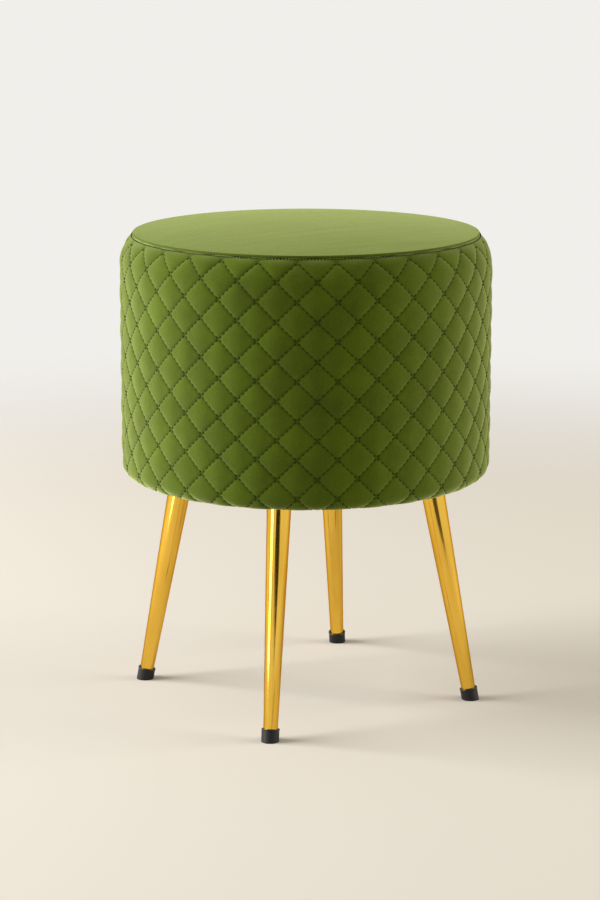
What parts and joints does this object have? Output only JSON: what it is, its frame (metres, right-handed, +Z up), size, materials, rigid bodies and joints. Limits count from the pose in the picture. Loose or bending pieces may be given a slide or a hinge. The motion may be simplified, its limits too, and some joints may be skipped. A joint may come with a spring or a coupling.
{
  "type": "pouf",
  "caption": "Round velvet pouf with a diamond-quilted side, a crowned plain top with a welted edge, and splayed tapered gold legs with black rubber caps, to sit on or rest feet on.",
  "frame": {"origin": "on the floor under the middle of the seat", "axes": "+Z up, -Y to the front between two legs, +X to the right"},
  "size_m": [0.3532, 0.352, 0.4593],
  "materials": {
    "velvet": "short-pile green velvet",
    "gold_plate": "polished gold plating on a metal tube",
    "rubber": "semi-gloss black rubber",
    "plywood": "bare plywood",
    "pine": "bare softwood",
    "hardboard": "bare hardboard",
    "foam": "soft open-cell foam",
    "wadding": "white fibre wadding",
    "nonwoven": "thin black nonwoven",
    "steel": "zinc-plated steel",
    "zinc": "zinc-plated steel wire and screws"
  },
  "bodies": {
    "root": {"base_board": "plywood", "drum_wall": "hardboard", "dust_cover": "nonwoven", "dust_cover_staples": "zinc", "edge_welt": "velvet", "foot_cap_back_left": "rubber", "foot_cap_back_right": "rubber", "foot_cap_front_left": "rubber", "foot_cap_front_right": "rubber", "frame_post_1": "pine", "frame_post_2": "pine", "frame_post_3": "pine", "frame_post_4": "pine", "frame_post_5": "pine", "frame_post_6": "pine", "frame_post_7": "pine", "frame_post_8": "pine", "hem_staples": "zinc", "leg_insert_back_left": "steel", "leg_insert_back_right": "steel", "leg_insert_front_left": "steel", "leg_insert_front_right": "steel", "leg_plate_back_left": "steel", "leg_plate_back_right": "steel", "leg_plate_front_left": "steel", "leg_plate_front_right": "steel", "leg_stud_back_left": "steel", "leg_stud_back_right": "steel", "leg_stud_front_left": "steel", "leg_stud_front_right": "steel", "leg_tube_back_left": "gold_plate", "leg_tube_back_right": "gold_plate", "leg_tube_front_left": "gold_plate", "leg_tube_front_right": "gold_plate", "plate_screws": "zinc", "post_screws_bottom": "zinc", "post_screws_top": "zinc", "seat_board": "plywood", "seat_foam": "foam", "seat_wadding": "wadding", "side_cover": "velvet", "side_foam": "foam", "top_cover": "velvet", "wall_staples": "zinc"}
  },
  "joints": []
}
